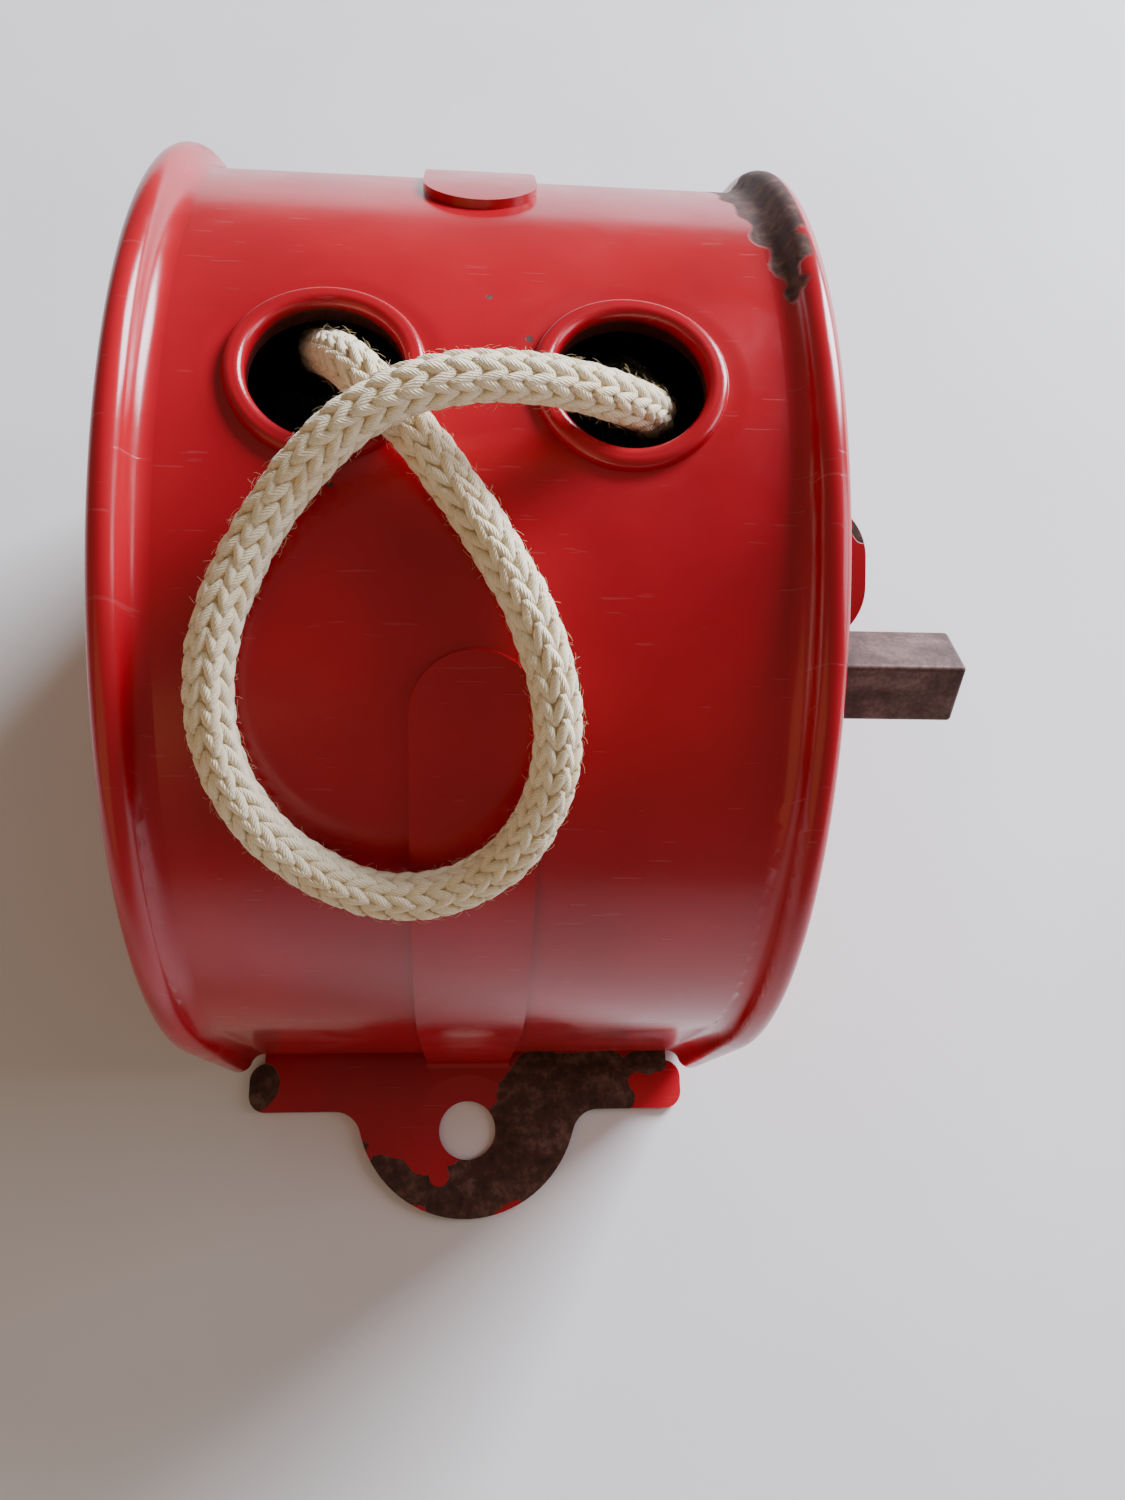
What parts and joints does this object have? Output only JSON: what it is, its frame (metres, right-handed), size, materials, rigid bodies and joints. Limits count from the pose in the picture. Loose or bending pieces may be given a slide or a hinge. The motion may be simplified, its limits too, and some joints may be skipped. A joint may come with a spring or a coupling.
{
  "type": "clothesline reel",
  "caption": "Wall-mounted clothesline reel: a D-shaped sheet-steel drum with two line outlets and two screw feet, holding a ratcheted spool turned by a side crank.",
  "frame": {"origin": "midway between the two screw holes, on the wall face", "axes": "+X along the spool axle towards the crank, +Y from the lower foot to the upper foot, +Z out of the wall"},
  "size_m": [0.0879, 0.1632, 0.1096],
  "materials": {
    "red_enamelled_steel": "gloss",
    "bright_steel": "satin",
    "oxidised_steel": "satin",
    "brass": "satin",
    "cotton_line": "matte"
  },
  "bodies": {
    "housing": {"drum_wall": "red_enamelled_steel", "left_end_cap": "red_enamelled_steel", "right_end_cap": "red_enamelled_steel", "left_eyelet": "red_enamelled_steel", "right_eyelet": "red_enamelled_steel", "lower_mounting_foot": "red_enamelled_steel", "upper_mounting_foot": "red_enamelled_steel", "left_bearing_bush": "brass", "right_bearing_bush": "brass", "pawl_pivot_rivet": "bright_steel", "pawl_spring_post": "bright_steel", "pawl_stop_pin": "bright_steel", "pawl_spring": "bright_steel", "line_loop": "cotton_line"},
    "reel": {"axle": "bright_steel", "left_spool_core": "bright_steel", "right_spool_core": "bright_steel", "left_spool_flange": "bright_steel", "centre_spool_flange": "bright_steel", "right_spool_flange": "bright_steel", "left_line_winding": "cotton_line", "right_line_winding": "cotton_line", "left_thrust_washer": "bright_steel", "right_thrust_washer": "bright_steel", "retaining_clip": "bright_steel", "ratchet_wheel": "bright_steel", "crank_arm": "oxidised_steel", "crank_washer": "bright_steel", "crank_nut": "bright_steel", "grip_pin": "bright_steel"},
    "grip": {"crank_grip": "oxidised_steel"},
    "pawl": {"pawl_lever": "red_enamelled_steel"}
  },
  "joints": [
    {"name": "reel_turn", "type": "hinge", "parent": "housing", "child": "reel", "pos_m": [0, 0, 0.05], "axis": [1, 0, 0], "continuous": true},
    {"name": "grip_spin", "type": "hinge", "parent": "reel", "child": "grip", "pos_m": [0.044, -0.024, 0.081], "axis": [1, 0, 0], "continuous": true},
    {"name": "pawl_lift", "type": "hinge", "parent": "housing", "child": "pawl", "pos_m": [0.032, -0.004, 0.084], "axis": [1, 0, 0], "range_deg": [0, 6.5], "stiffness_Nm_per_rad": 0.06, "springref_deg": -14.32, "deforming": ["pawl_spring"]}
  ]
}
